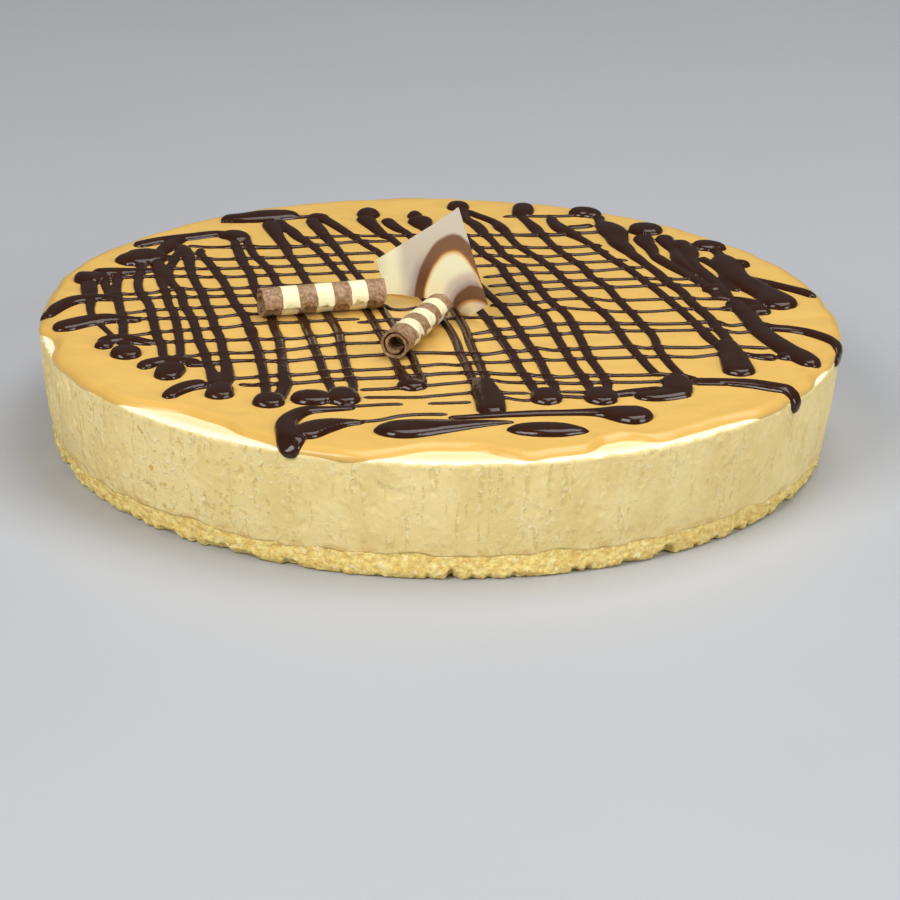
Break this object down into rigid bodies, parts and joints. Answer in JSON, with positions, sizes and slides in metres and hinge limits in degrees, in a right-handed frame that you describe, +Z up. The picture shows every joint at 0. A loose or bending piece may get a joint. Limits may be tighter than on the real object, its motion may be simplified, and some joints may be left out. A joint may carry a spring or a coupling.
{
  "type": "caramel-topped cheesecake",
  "caption": "Large round cheesecake on a pressed crumb base, with a poured caramel top, two rolled chocolate curls and a standing marbled shard.",
  "frame": {"origin": "centre of the underside, on the surface the cake stands on", "axes": "+Z up out of the caramel top; -Y towards the front, where the right-hand curl points; +X to the right"},
  "size_m": [0.252, 0.2508, 0.0721],
  "materials": {
    "crumb": "matt, crumbly",
    "filling": "soft satin, scraped",
    "caramel": "glossy, poured",
    "striped_chocolate": "satin, banded brown and cream",
    "marbled_chocolate": "glossy, cream with brown marbling"
  },
  "bodies": {
    "root": {"crumb_base": "crumb", "filling": "filling", "caramel_layer": "caramel", "chocolate_curl_left": "striped_chocolate", "chocolate_curl_right": "striped_chocolate", "chocolate_shard": "marbled_chocolate"}
  },
  "joints": []
}
